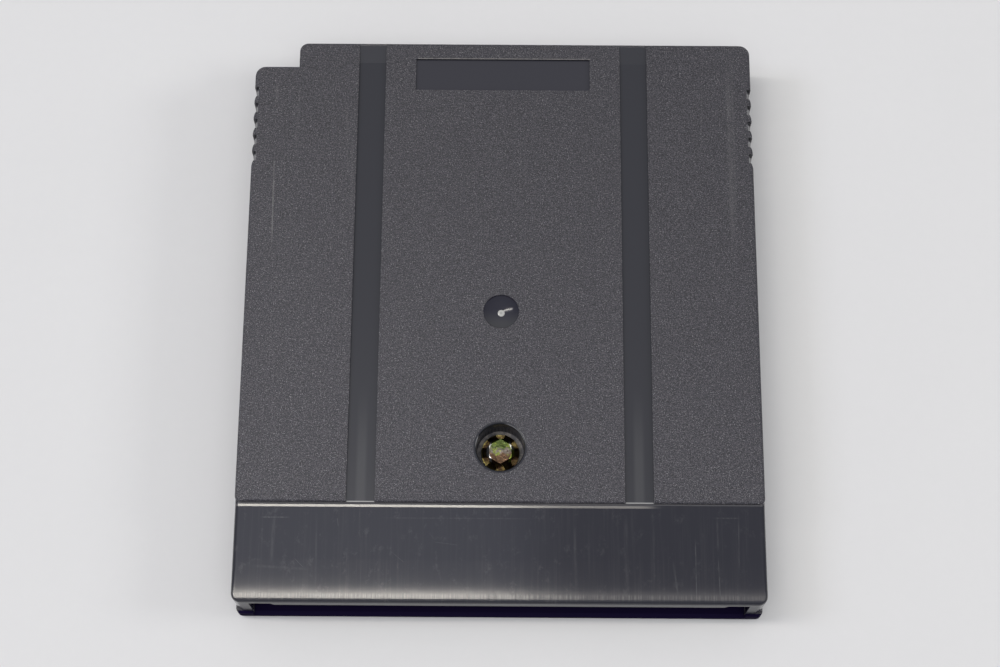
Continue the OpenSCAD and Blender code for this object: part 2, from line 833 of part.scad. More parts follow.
module cell_can() {
    color(steel_colour) on_board(cell_place) rotate_extrude() polygon([
        [0, can_z], [can_r - can_bevel, can_z], [can_r, can_z - can_bevel],
        [can_r, crimp_z + can_t], [can_r - crimp_lip, crimp_z],
        [crimp_r, crimp_z], [crimp_r, crimp_z + can_t],
        [inside_r, crimp_z + 2 * can_t], [inside_r, fill_z], [0, fill_z]
    ]);
}

module cell_gasket() {
    color(nylon_colour) on_board(cell_place) rotate_extrude() polygon([
        [cap_r, crimp_z - gasket_proud], [crimp_r, crimp_z - gasket_proud], [crimp_r, crimp_z + can_t],
        [inside_r, crimp_z + 2 * can_t], [inside_r, fill_z], [cap_r, fill_z]
    ]);
}

module cell_cap() {
    color(steel_colour) on_board(cell_place) rotate_extrude() polygon([
        [0, cap_z], [cap_r - crimp_lip, cap_z], [cap_r, crimp_z], [cap_r, fill_z], [0, fill_z]
    ]);
}

// Tab over the can, bent down the cell's side to its pad
module cell_tab_plus() {
    bend_x = can_r + tab_side_gap;
    color(tin_colour) on_board(cell_place) along(-tab_w / 2, tab_w / 2) polygon([
        [tab_reach, can_z], [bend_x, can_z], [bend_x, 0], [bend_x + tab_foot_l, 0],
        [bend_x + tab_foot_l, tab_t], [bend_x + tab_t, tab_t],
        [bend_x + tab_t, can_z + tab_t], [tab_reach, can_z + tab_t]
    ]);
}

// Tab under the cap, let down to its pad beside the cell
module cell_tab_minus() {
    out_x = -can_r - tab_run_out;
    foot_x = out_x - tab_drop_l;
    color(tin_colour) on_board(cell_place) along(-tab_w / 2, tab_w / 2) polygon([
        [tab_reach, cell_lift], [tab_reach, cell_lift + tab_t], [out_x, cell_lift + tab_t],
        [foot_x, tab_t], [foot_x - tab_foot_l, tab_t], [foot_x - tab_foot_l, 0],
        [foot_x, 0], [out_x, cell_lift]
    ]);
}

module chip_part_body(size, place, tint) {
    color(tint) on_board(place) box_on(size[0] - 2 * size[3], size[1], body_skin, size[2]);
}

module chip_part_ends(size, place) {
    on_board(place) for (side = [0, 180]) rotate(side)
        translate([size[0] / 2 - size[3], -size[1] / 2, 0]) cube([size[3], size[1], size[2]]);
}

module capacitor(i) {
    chip_part_body(capacitor_size, capacitor_places[i - 1], ceramic_colour);
}

module resistor(i) {
    chip_part_body(resistor_size, resistor_places[i - 1], resin_colour);
}

module chip_terminals() {
    color(tin_colour) {
        for (place = capacitor_places) chip_part_ends(capacitor_size, place);
        for (place = resistor_places) chip_part_ends(resistor_size, place);
    }
}

// The origin is the middle of the label face, under the middle of the length
module centred() {
    translate([0, -case_l / 2, 0]) children();
}

centred() back_shell();
centred() front_shell();
centred() security_screw();
centred() circuit_board();
centred() edge_contacts();
centred() chip_body(rom);  // rom_chip
centred() chip_leads(rom);  // rom_leads
centred() chip_body(mapper);  // mapper_chip
centred() chip_leads(mapper);  // mapper_leads
centred() chip_body(ram);  // ram_chip
centred() chip_leads(ram);  // ram_leads
centred() chip_body(supervisor);  // supervisor_chip
centred() chip_leads(supervisor);  // supervisor_leads
centred() cell_can();
centred() cell_gasket();
centred() cell_cap();
centred() cell_tab_plus();
centred() cell_tab_minus();
centred() capacitor(1);  // capacitor_1
centred() capacitor(2);  // capacitor_2
centred() capacitor(3);  // capacitor_3
centred() capacitor(4);  // capacitor_4
centred() resistor(1);  // resistor_1
centred() resistor(2);  // resistor_2
centred() resistor(3);  // resistor_3
centred() chip_terminals();
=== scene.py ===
import math

import bpy
from mathutils import Matrix, Vector


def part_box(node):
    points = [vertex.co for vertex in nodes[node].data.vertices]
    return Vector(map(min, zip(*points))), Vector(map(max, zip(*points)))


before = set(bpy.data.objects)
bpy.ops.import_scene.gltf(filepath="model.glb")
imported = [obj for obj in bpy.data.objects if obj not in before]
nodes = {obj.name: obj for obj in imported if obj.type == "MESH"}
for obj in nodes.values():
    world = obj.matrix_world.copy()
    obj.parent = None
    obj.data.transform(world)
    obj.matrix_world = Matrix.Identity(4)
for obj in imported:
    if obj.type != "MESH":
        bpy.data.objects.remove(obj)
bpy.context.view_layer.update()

# Shaders work in millimetres of the part's own frame
MM = 0.001
half_w, top_y, back_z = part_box("back_shell")[1] / MM
mouth_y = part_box("front_shell")[0].y / MM
head_top_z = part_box("security_screw")[1].z / MM

# Lengths on the case, as in the part's source
band_l = 11.1
band_drop = 0.5
groove_x = 15
groove_w = 3.1
plate_w = 20
plate_l = 3.9
plate_inset = 2
dimple_place = 32.75
dimple_r = 2
screw_place = 17.25
recess_r = 2.6
recess_depth = 3
notch_w = 5
notch_l = 3
side_wall = 1.85
back_wall = 1.5

# Places on the case
step_y = mouth_y + band_l
band_z = back_z - band_drop
plate_y = top_y - plate_inset - plate_l / 2
dimple_y = mouth_y + dimple_place
screw_y = mouth_y + screw_place
recess_floor_z = back_z - recess_depth
notch_x = -half_w + notch_w
notch_y = top_y - notch_l


# Nodes
class Shader:
    """Builds a node material in the part's millimetres. A mask is 1 on one area and 0 elsewhere."""

    def __init__(self, name):
        self.material = bpy.data.materials.new(name)
        self.material.use_nodes = True
        self.tree = self.material.node_tree
        self.bsdf = self.tree.nodes["Principled BSDF"]
        coordinates = self.add("ShaderNodeTexCoord")
        self.place = self.scaled(coordinates.outputs["Object"], 1 / MM)
        split = self.add("ShaderNodeSeparateXYZ")
        self.join(self.place, split.inputs[0])
        self.x, self.y, self.z = split.outputs

    def add(self, kind, **settings):
        node = self.tree.nodes.new(kind)
        for name, value in settings.items():
            setattr(node, name, value)
        return node

    def join(self, source, socket):
        """Links an output to a socket, or writes a plain value into it."""
        if isinstance(source, bpy.types.NodeSocket):
            self.tree.links.new(source, socket)
        else:
            socket.default_value = source

    def math(self, operation, *values):
        node = self.add("ShaderNodeMath", operation=operation)
        for value, socket in zip(values, node.inputs):
            self.join(value, socket)
        return node.outputs[0]

    def scaled(self, vector, factor):
        node = self.add("ShaderNodeVectorMath", operation="SCALE")
        self.join(vector, node.inputs[0])
        self.join(factor, node.inputs["Scale"])
        return node.outputs[0]

    def product(self, first, *others):
        for other in others:
            first = self.math("MULTIPLY", first, other)
        return first

    def either(self, first, *others):
        """Union of masks."""
        for other in others:
            first = self.math("MAXIMUM", first, other)
        return first

    def outside(self, mask):
        return self.math("SUBTRACT", 1.0, mask)

    def off(self, value, middle=0.0):
        """How far a value is from a middle one."""
        return self.math("ABSOLUTE", self.math("SUBTRACT", value, middle))

    def distance(self, x, y):
        """Distance in plan from a point."""
        dx = self.math("SUBTRACT", self.x, x)
        dy = self.math("SUBTRACT", self.y, y)
        return self.math("SQRT", self.math("ADD", self.product(dx, dx), self.product(dy, dy)))

    def ramp(self, value, start, end, low=0.0, high=1.0):
        """Smooth step of a value, from low at start to high at end."""
        node = self.add("ShaderNodeMapRange", interpolation_type="SMOOTHSTEP")
        for source, name in zip(
            (value, start, end, low, high), ("Value", "From Min", "From Max", "To Min", "To Max")
        ):
            self.join(source, node.inputs[name])
        return node.outputs["Result"]

    def straight(self, value, start, end):
        """Straight ramp of a value, from 0 at start to 1 at end."""
        node = self.add("ShaderNodeMapRange")
        for source, name in zip((value, start, end), ("Value", "From Min", "From Max")):
            self.join(source, node.inputs[name])
        return node.outputs["Result"]

    def fall(self, value, start, end):
        """Height that falls from 0 at start to -1 at end, ever more steeply."""
        line = self.straight(value, start, end)
        return self.product(line, line, -1.0)

    def above(self, value, edge, soft=0.02):
        """Mask of the values over an edge, soft to this distance on each side of it."""
        return self.ramp(value, edge - soft, edge + soft)

    def below(self, value, edge, soft=0.02):
        return self.ramp(value, edge - soft, edge + soft, 1.0, 0.0)

    def window(self, value, low, high, soft):
        """Mask of the values between two edges."""
        return self.product(self.above(value, low, soft), self.below(value, high, soft))

    def noise(self, scale, detail=2.0, roughness=0.5, stretch=(1, 1, 1), shift=(0, 0, 0)):
        """Noise with so many features to the millimetre, stretched along each axis."""
        mapping = self.add("ShaderNodeMapping")
        self.join(self.place, mapping.inputs["Vector"])
        mapping.inputs["Scale"].default_value = stretch
        mapping.inputs["Location"].default_value = shift
        node = self.add("ShaderNodeTexNoise")
        self.join(mapping.outputs[0], node.inputs["Vector"])
        node.inputs["Scale"].default_value = scale
        node.inputs["Detail"].default_value = detail
        node.inputs["Roughness"].default_value = roughness
        return node.outputs["Fac"]

    def mix(self, factor, first, second):
        node = self.add("ShaderNodeMix", data_type="FLOAT")
        self.join(factor, node.inputs[0])
        self.join(first, node.inputs[2])
        self.join(second, node.inputs[3])
        return node.outputs[0]

    def blend(self, factor, first, second):
        """Mixes two colours, each a socket or three numbers."""
        node = self.add("ShaderNodeMix", data_type="RGBA")
        self.join(factor, node.inputs[0])
        for colour, socket in ((first, node.inputs[6]), (second, node.inputs[7])):
            self.join(colour if isinstance(colour, bpy.types.NodeSocket) else (*colour, 1), socket)
        return node.outputs[2]

    def bump(self, height, depth, below=None):
        """Raises the surface by the height times depth, in millimetres, over another bump."""
        node = self.add("ShaderNodeBump")
        self.join(height, node.inputs["Height"])
        node.inputs["Distance"].default_value = depth * MM
        if below is not None:
            self.join(below, node.inputs["Normal"])
        return node.outputs[0]

    def finish(self, colour, roughness, normal, **others):
        self.join(colour, self.bsdf.inputs["Base Color"])
        self.join(roughness, self.bsdf.inputs["Roughness"])
        self.join(normal, self.bsdf.inputs["Normal"])
        for name, value in others.items():
            self.join(value, self.bsdf.inputs[name.replace("_", " ")])
        return self.material


def paint(material, *names):
    for name in names:
        for slot in nodes[name].material_slots:
            slot.material = material


# Colours of the case's plastic
GRAIN_DARK = (0.016, 0.0155, 0.021)
GRAIN_LIGHT = (0.083, 0.0805, 0.093)
# Painted glint on the highest tops of the grain
FLECK = (0.30, 0.295, 0.30)
SMOOTH = (0.019, 0.0195, 0.028)
GROOVE = (0.029, 0.030, 0.037)
GROOVE_GLINT = (0.45, 0.45, 0.44)
PLATE = (0.033, 0.033, 0.042)
POLISHED = (0.019, 0.019, 0.030)
POLISHED_LIT_FOOT = (0.064, 0.065, 0.070)
GATE = (0.48, 0.48, 0.46)
GATE_DOT = (0.36, 0.36, 0.34)
RING_GLINT = (0.42, 0.42, 0.43)
PALE_LINE = (0.20, 0.19, 0.18)
SCRATCHED = (0.16, 0.16, 0.16)
DUST_AND_LIGHT = (0.27, 0.25, 0.23)
SHADED = (0.105, 0.103, 0.110)
# Painted deep shade, on the hidden inner faces and under the dimple's upper edge
DEEP_SHADE = (0.010, 0.009, 0.018)
NAVY_SHADE = (0.009, 0.006, 0.026)

# How strongly a mark covers the colour under it
FLECK_SHARE = 0.85
STREAK_SHARE = 0.05
GROOVE_RUB_SHARE = 0.16
GROOVE_GLINT_SHARE = 0.9
RIM_SHARE = 0.25
FOOT_HIGHLIGHT_SHARE = 0.55
RIGHT_ARC_SHARE = 0.5
PLATE_LINE_SHARE = 0.9

# Levels of a pattern between which its marks appear
GRAIN_TOPS = (0.50, 0.78)
GRAIN_FLECKS = (0.73, 0.91)
STREAK_LEVELS = (0.70, 1.05)
SCUFF_LEVELS = (0.55, 0.72)
DUST_LEVELS = (0.38, 0.66)
RIM_LEVELS = (0.40, 0.70)
PLATE_LINE_LEVELS = (0.30, 0.55)
SCRATCH_LEVELS = (0.35, 0.60)
ROLL_LEVELS = (0.30, 0.70)

# Least strength of the marks that are broken in places
PLATE_LINE_LEAST = 0.4
SCRATCH_LEAST = 0.35

# Haze on the band, from the first place along x to the second
SCUFF_X = (20.0, -10.0)
SCUFF_SHARES = (0.09, 0.15)
HAZE_X = (15.0, -20.0)
HAZE_SHARES = (0.0, 0.05)

# Painted light: the grain grows paler from the top right corner to the bottom left one
LIT_GRADIENT = (0.94, 1.19)
LIT_GRADIENT_LEAN = 0.4

# Depths from the outside at which a face still counts as the back or as a side
FACE_DEPTH = 0.03
SIDE_DEPTH = 0.2

# Grain on the step: from this height over the band, and as far as this beyond the step's foot
STEP_GRAIN_H = 0.19
STEP_GRAIN_L = 0.33

# Depths from the outside at which a face counts as hidden and is painted in shade, and the length of the
# front shell's lip at the mouth that is painted in shade
HIDDEN_SIDE = side_wall + 0.03
HIDDEN_END = 0.85
HIDDEN_MOUTH = 0.34
FRONT_HIDDEN_Z = 0.875
FRONT_DARK_L = 0.31

# The band's smooth surface stops short of the step, and the end face reaches this far round the rim
BAND_GAP = 0.035
END_FACE_L = 0.275

# Floor of the screw's recess: how far in from its wall, and over and under its level
FLOOR_INSET = 0.04
FLOOR_OVER = 0.15
FLOOR_UNDER = 0.25

# Pale line along the rim, rubbed wear with a painted highlight, between two distances from the mouth
RIM_LINE = (0.8, 1.2)

# Painted shade and a painted highlight at the step's foot: between two distances beyond it, and as far
# right as this
STEP_SHADE = (-0.12, 0.06)
STEP_SHADE_DEPTH = 0.05
FOOT_HIGHLIGHT_RIGHT = 16.0

# The grooves have a painted glint this near the step, and are rubbed along their middle from one distance
# to another
GROOVE_GLINT_L = 0.14
GROOVE_RUB_HALF_W = 0.5
GROOVE_RUB = (14, 4)

# Painted glints as pale arcs round the screw's recess: how far out, and where from the screw's middle
RING_LINE = (0.03, 0.11)
LEFT_ARC_X = -2.4
LEFT_ARC_Y = (0.2, 1.3)
RIGHT_ARC_X = 0.65
RIGHT_ARC_Y = 0.75

# Pale line over the plate: how far over its edge, and how much shorter at the left and longer at the right
PLATE_LINE = (0.03, 0.12)
PLATE_LINE_LEFT = 0.2
PLATE_LINE_RIGHT = 0.1

# The dimple has painted light at its foot and painted shade under its upper edge, and holds the pale gate
# mark
DIMPLE_FOOT_TOP = 0.6
DIMPLE_SHADE_W = 0.18
DIMPLE_SHADE_Y = 1.15
GATE_R = 0.38
GATE_DOT_R = 0.15

# The band turns up a little just short of the step
FOOT_START = 0.46
FOOT_END = 0.18
FOOT_RISE = 0.0200
FOOT_RISE_RIGHT = (15.0, 20.0)

# The band rolls over towards the mouth, first slowly and unevenly, and then at its edge
ROLL_START = 2.25
ROLL_END = 0.65
ROLL_DROP = 0.0084
ROLL_UNEVEN = (0.78, 1.20)
EDGE_START = 0.78
EDGE_END = 0.40
EDGE_DROP = 0.018

# Polished ring that slopes into the screw's recess
RING_W = 0.28
RING_DROP = 0.11

# Depth of the grain, and of the rubbed lines, which grow deeper towards the rim
COARSE_GRAIN = 0.25
GRAIN_RELIEF = 0.047
FRONT_GRAIN_RELIEF = 0.04
RUB_RELIEF = 0.0018
RUB_FROM = 4.5
RUB_TO = 1.0
RUB_NEAR_RIM = (0.45, 1.3)

# Roughness of each surface, and how well it reflects straight on
GRAIN_ROUGH = (0.30, 0.37)
FRONT_ROUGH = (0.32, 0.44)
FRONT_DARK_ROUGH = 0.9
GROOVE_ROUGH = 0.22
BAND_ROUGH = (0.10, 0.14)
RIM_ROUGH = 0.018
RIM_ROUGH_FROM = 1.8
RIM_ROUGH_TO = 0.8
DIMPLE_ROUGH = 0.14
RING_ROUGH = 0.2
DULL_ROUGH = 0.75
SPECULAR = 0.5
END_SPECULAR = 0.32
HIDDEN_SPECULAR = 0.03

# Scratches on the back and on the band: x and y of both ends, half width, strength
SCRATCH_FADE = 0.15
SCRATCHES = [
    (-25.86, 17.6, -25.75, 8.4, 0.12, 1.0),
    (-25.95, 25.0, -25.92, 27.4, 0.30, 0.26),
    (2.0, 14.0, 2.1, 22.5, 0.05, 0.30),
    (2.5, 16.0, 2.6, 20.5, 0.04, 0.22),
    (-16.9, 12.0, -17.1, 20.5, 0.25, 0.14),
    (-17.5, 16.5, -17.8, 24.6, 0.16, 0.22),
    (-23.4, 19.5, -23.3, 26.5, 0.28, 0.16),
    (25.9, 9.0, 25.9, 28.4, 0.50, 0.24),
    (26.3, 12.0, 26.4, 30.0, 0.22, 0.18),
    (22.6, 19.0, 22.9, 27.2, 0.12, 0.16),
]
BAND_SCRATCHES = [
    (-25.4, -23.3, -22.7, -23.3, 0.12, 0.34),
    (-24.2, -23.4, -24.3, -27.8, 0.28, 0.17),
    (-21.8, -27.8, -20.9, -28.7, 0.06, 0.32),
    (-17.4, -23.4, -17.3, -24.2, 0.06, 0.28),
    (-11.3, -23.3, 2.3, -23.3, 0.12, 0.12),
    (-11.4, -27.1, -10.2, -28.1, 0.06, 0.20),
    (-6.9, -25.9, -4.6, -26.2, 0.06, 0.18),
    (20.9, -25.9, 20.9, -31.4, 0.09, 0.30),
    (23.3, -27.8, 23.4, -31.4, 0.08, 0.26),
    (23.1, -23.1, 25.6, -23.1, 0.10, 0.20),
    (25.6, -23.1, 25.5, -28.2, 0.12, 0.18),
    (23.3, -23.4, 23.3, -26.5, 0.18, 0.12),
    (13.5, -23.5, 13.5, -31.0, 0.35, 0.09),
    (16.5, -24.0, 16.4, -30.5, 0.20, 0.09),
    (18.5, -28.0, 18.9, -31.2, 0.15, 0.16),
    (8.0, -24.5, 8.2, -30.8, 0.25, 0.07),
    (-26.0, -28.6, -20.5, -28.9, 0.25, 0.10),
    (-19.6, -23.4, -19.5, -30.5, 0.18, 0.10),
]


# Marks and grain
def scratch(s, x0, y0, x1, y1, half_width, strength):
    """Straight scratch that fades out at both ends."""
    along, across = s.y, s.x
    if abs(x1 - x0) > abs(y1 - y0):
        along, across = s.x, s.y
        x0, y0, x1, y1 = y0, x0, y1, x1
    low, high = sorted((y0, y1))
    lean = (x1 - x0) / (y1 - y0)
    middle = s.math("MULTIPLY_ADD", along, lean, x0 - lean * y0)
    line = s.ramp(s.off(across, middle), 0.0, half_width, strength, 0.0)
    return s.product(line, s.window(along, low, high, SCRATCH_FADE * (high - low)))


def scratches(s, places):
    """Mask of scratches that are broken in places."""
    marks = [scratch(s, *values) for values in places]
    gaps = s.noise(1.6, detail=3, roughness=0.6, stretch=(3, 0.5, 1))
    return s.product(s.either(*marks), s.ramp(gaps, *SCRATCH_LEVELS, low=SCRATCH_LEAST))


def streaks(s, across, along, shift=(0, 0, 0)):
    """Fine lines that run from the mouth to the top edge."""
    return s.noise(1.0, detail=3.0, roughness=0.65, stretch=(across, along, 0.2), shift=shift)


def grain_height(s):
    fine = s.noise(9.5, detail=1.0, roughness=0.6)
    coarse = s.noise(4.0, detail=1.0, shift=(7, 3, 0))
    return s.math("MULTIPLY_ADD", coarse, COARSE_GRAIN, fine)


def grain_colour(s, height):
    """Dark plastic with paler tops to its grain and bright flecks on the highest ones, a painted sheen and
    painted glints.
    """
    colour = s.blend(s.ramp(height, *GRAIN_TOPS), GRAIN_DARK, GRAIN_LIGHT)
    flecks = s.product(s.ramp(height, *GRAIN_FLECKS), FLECK_SHARE)
    return s.blend(flecks, colour, FLECK)


def within_walls(s):
    """Mask of what lies inside the side walls, the end wall and the walls round the notch."""
    by_notch = s.product(
        s.below(s.x, notch_x + HIDDEN_END, soft=0.05), s.above(s.y, notch_y - HIDDEN_END, soft=0.05)
    )
    return s.product(
        s.below(s.off(s.x), half_w - HIDDEN_SIDE),
        s.below(s.y, top_y - HIDDEN_END, soft=0.05),
        s.outside(by_notch),
    )


# Back shell
class BackShader(Shader):
    """Shader with the distances, masks and patterns of the back shell."""

    def __init__(self):
        super().__init__("back_plastic")
        self.from_groove = self.off(self.off(self.x), groove_x)
        self.from_dimple = self.distance(0, dimple_y)
        self.from_screw = self.distance(0, screw_y)

        self.ring = self.below(self.from_screw, recess_r + RING_W + 0.025, soft=0.025)
        self.on_face = self.product(self.above(self.z, back_z - FACE_DEPTH), self.outside(self.ring))
        self.grain = self.either(self.on_face, self.side_mask(), self.step_mask())
        self.on_band = self.below(self.y, step_y - BAND_GAP, soft=0.015)
        self.end_face = self.below(self.y, mouth_y + END_FACE_L, soft=0.125)
        self.in_plate = self.product(
            self.window(self.x, -plate_w / 2, plate_w / 2, soft=0.05),
            self.window(self.y, plate_y - plate_l / 2, plate_y + plate_l / 2, soft=0.05),
        )
        self.in_dimple = self.below(self.from_dimple, dimple_r - 0.025, soft=0.025)
        self.recess_floor = self.product(
            self.below(self.from_screw, recess_r - FLOOR_INSET),
            self.window(self.z, recess_floor_z - FLOOR_UNDER, recess_floor_z + FLOOR_OVER, soft=0.05),
        )
        self.hidden = self.product(
            within_walls(self),
            self.below(self.z, back_z - back_wall),
            self.above(self.y, mouth_y + HIDDEN_MOUTH),
            self.above(self.from_screw, recess_r),
        )

        self.height = grain_height(self)
        self.rub = streaks(self, across=5.0, along=0.10)
        self.rub_wide = streaks(self, across=1.2, along=0.05, shift=(4, 0, 0))
        self.streak = self.ramp(self.math("MULTIPLY_ADD", self.rub_wide, 0.5, self.rub), *STREAK_LEVELS)

    def side_mask(self):
        """Mask of the sides, the end and the notch's walls, down to the step."""
        in_notch = self.product(
            self.below(self.x, notch_x + SIDE_DEPTH, soft=0.1),
            self.above(self.y, notch_y - SIDE_DEPTH, soft=0.1),
        )
        outer = self.either(
            self.above(self.off(self.x), half_w - SIDE_DEPTH, soft=0.1),
            self.above(self.y, top_y - SIDE_DEPTH, soft=0.1),
            in_notch,
        )
        return self.product(outer, self.above(self.y, step_y))

    def step_mask(self):
        """Mask of the step's rounded upper edge, beside the grooves."""
        return self.product(
            self.above(self.z, band_z + STEP_GRAIN_H, soft=0.03),
            self.below(self.y, step_y + STEP_GRAIN_L, soft=0.03),
            self.above(self.y, step_y),
            self.above(self.from_groove, groove_w / 2),
        )


def band_colour(s):
    """Smooth plastic, hazy where it was rubbed, and more so to the left."""
    patches = s.noise(0.8, detail=5.0, roughness=0.75, stretch=(1, 0.7, 1), shift=(2, 8, 0))
    scuff_share = s.ramp(s.x, *SCUFF_X, *SCUFF_SHARES)
    scuff = s.ramp(patches, *SCUFF_LEVELS)
    haze = s.math("MULTIPLY_ADD", scuff, scuff_share, s.product(s.streak, STREAK_SHARE))
    haze = s.math("ADD", haze, s.ramp(s.x, *HAZE_X, *HAZE_SHARES))
    return s.blend(haze, SMOOTH, SCRATCHED)


def groove_colour(s):
    """Satin plastic, rubbed along the middle of each groove's lower part, with a painted glint at its end.
    """
    rubbed = s.product(
        s.ramp(s.y, step_y + GROOVE_RUB[0], step_y + GROOVE_RUB[1]),
        s.below(s.from_groove, GROOVE_RUB_HALF_W, soft=0.25),
    )
    colour = s.blend(s.product(rubbed, GROOVE_RUB_SHARE), GROOVE, SCRATCHED)
    glint = s.product(
        s.below(s.y, step_y + GROOVE_GLINT_L, soft=0.04),
        s.below(s.from_groove, groove_w / 2 - 0.05, soft=0.05),
    )
    return s.blend(s.product(glint, GROOVE_GLINT_SHARE), colour, GROOVE_GLINT)


def dimple_colour(s):
    """Polished plastic round the gate mark, with painted light at its foot and painted shade under its
    upper edge.
    """
    # Painted light, paler towards the dimple's foot
    foot = s.ramp(s.y, dimple_y + DIMPLE_FOOT_TOP, dimple_y - dimple_r)
    colour = s.blend(foot, POLISHED, POLISHED_LIT_FOOT)
    upper_edge = s.product(
        s.above(s.from_dimple, dimple_r - DIMPLE_SHADE_W, soft=0.06),
        s.above(s.y, dimple_y + DIMPLE_SHADE_Y, soft=0.25),
    )
    colour = s.blend(upper_edge, colour, DEEP_SHADE)
    gate_colour = s.blend(s.below(s.from_dimple, GATE_DOT_R, soft=0.07), GATE, GATE_DOT)
    return s.blend(s.below(s.from_dimple, GATE_R, soft=0.04), colour, gate_colour)


def recess_dust_and_light(s):
    # Dust and painted light on the recess floor, in patches over a dimmer tone
    patches = s.noise(2.0, detail=3.0, roughness=0.7, shift=(9, 1, 0))
    return s.blend(s.ramp(patches, *DUST_LEVELS), SHADED, DUST_AND_LIGHT)


def add_lines_and_painted_light(s, colour):
    """Lays the rim's rubbed line and painted highlight, the step's painted shade and highlight, the
    recess's painted glints and the plate's pale line over a colour.
    """
    rim = s.product(
        s.window(s.y, mouth_y + RIM_LINE[0], mouth_y + RIM_LINE[1], soft=0.25),
        s.on_band,
        s.ramp(s.rub, *RIM_LEVELS),
    )
    colour = s.blend(s.product(rim, RIM_SHARE), colour, PALE_LINE)

    # Painted shade along the step's foot
    step_shade = s.product(
        s.window(s.y, step_y + STEP_SHADE[0], step_y + STEP_SHADE[1], soft=0.04),
        s.above(s.z, band_z - STEP_SHADE_DEPTH, soft=0.05),
        s.outside(s.grain),
    )
    colour = s.blend(step_shade, colour, SHADED)
    # Painted highlight just short of the step
    foot = s.product(
        s.window(s.y, step_y - FOOT_START, step_y - FOOT_END, soft=0.03),
        s.window(s.x, -half_w, FOOT_HIGHLIGHT_RIGHT, soft=1.5),
    )
    colour = s.blend(s.product(foot, FOOT_HIGHLIGHT_SHARE), colour, PALE_LINE)

    left_arc = s.product(
        s.below(s.x, LEFT_ARC_X, soft=0.1),
        s.window(s.y, screw_y + LEFT_ARC_Y[0], screw_y + LEFT_ARC_Y[1], soft=0.5),
    )
    right_arc = s.product(
        s.above(s.x, RIGHT_ARC_X, soft=0.35), s.above(s.y, screw_y + RIGHT_ARC_Y, soft=0.45)
    )
    recess_glint = s.product(
        s.window(s.from_screw, recess_r + RING_LINE[0], recess_r + RING_LINE[1], soft=0.03),
        s.either(left_arc, s.product(right_arc, RIGHT_ARC_SHARE)),
    )
    colour = s.blend(recess_glint, colour, RING_GLINT)

    plate_top = plate_y + plate_l / 2
    broken = s.noise(1.5, detail=3.0, roughness=0.6, stretch=(1, 0.2, 0.2), shift=(1, 4, 7))
    plate_line = s.product(
        s.window(s.x, -plate_w / 2 + PLATE_LINE_LEFT, plate_w / 2 + PLATE_LINE_RIGHT, soft=0.04),
        s.window(s.y, plate_top + PLATE_LINE[0], plate_top + PLATE_LINE[1], soft=0.04),
        s.ramp(broken, *PLATE_LINE_LEVELS, low=PLATE_LINE_LEAST),
        s.on_face,
    )
    return s.blend(s.product(plate_line, PLATE_LINE_SHARE), colour, PALE_LINE)


def back_colour(s):
    smooth = s.blend(s.on_band, groove_colour(s), band_colour(s))
    smooth = s.blend(s.in_plate, smooth, PLATE)
    smooth = s.blend(s.in_dimple, smooth, dimple_colour(s))
    smooth = s.blend(s.recess_floor, smooth, recess_dust_and_light(s))
    # Painted light, paler towards the bottom left
    lit_gradient = s.ramp(s.math("MULTIPLY_ADD", s.x, LIT_GRADIENT_LEAN, s.y), top_y, mouth_y, *LIT_GRADIENT)
    colour = s.blend(s.grain, smooth, s.scaled(grain_colour(s, s.height), lit_gradient))
    colour = add_lines_and_painted_light(s, colour)
    colour = s.blend(s.product(scratches(s, SCRATCHES), s.on_face), colour, SCRATCHED)
    colour = s.blend(s.product(scratches(s, BAND_SCRATCHES), s.on_band), colour, SCRATCHED)
    # Painted shade on the hidden inner faces
    return s.blend(s.hidden, colour, DEEP_SHADE)


def back_roughness(s):
    rim = s.ramp(s.y, mouth_y + RIM_ROUGH_FROM, mouth_y + RIM_ROUGH_TO, high=RIM_ROUGH)
    smooth = s.mix(s.on_band, GROOVE_ROUGH, s.math("ADD", s.mix(s.streak, *BAND_ROUGH), rim))
    smooth = s.mix(s.in_dimple, smooth, DIMPLE_ROUGH)
    smooth = s.mix(s.ring, smooth, RING_ROUGH)
    smooth = s.mix(s.either(s.end_face, s.hidden, s.recess_floor), smooth, DULL_ROUGH)
    cloud = s.noise(0.10, shift=(3, 9, 0))
    return s.mix(s.grain, smooth, s.mix(cloud, *GRAIN_ROUGH))


def back_normal(s):
    """Grain and rubbed lines, the band's upturn, its roll to the mouth and the ring's slope."""
    normal = s.bump(s.product(s.height, s.grain), GRAIN_RELIEF)
    near_rim = s.ramp(s.y, mouth_y + RUB_FROM, mouth_y + RUB_TO, *RUB_NEAR_RIM)
    normal = s.bump(s.product(s.rub, s.on_band, near_rim), RUB_RELIEF, normal)
    rise = s.straight(s.y, step_y - FOOT_START, step_y - FOOT_END)
    rise = s.product(rise, s.ramp(s.x, *FOOT_RISE_RIGHT, low=1.0, high=0.0))
    normal = s.bump(rise, FOOT_RISE, normal)
    roll = s.fall(s.y, mouth_y + ROLL_START, mouth_y + ROLL_END)
    uneven = s.ramp(s.rub_wide, *ROLL_LEVELS, *ROLL_UNEVEN)
    normal = s.bump(s.product(roll, uneven), ROLL_DROP, normal)
    normal = s.bump(s.fall(s.y, mouth_y + EDGE_START, mouth_y + EDGE_END), EDGE_DROP, normal)
    return s.bump(s.fall(s.from_screw, recess_r + RING_W, recess_r), RING_DROP, normal)


def back_plastic():
    s = BackShader()
    specular = s.mix(s.hidden, s.mix(s.end_face, SPECULAR, END_SPECULAR), HIDDEN_SPECULAR)
    return s.finish(back_colour(s), back_roughness(s), back_normal(s), Specular_IOR_Level=specular)


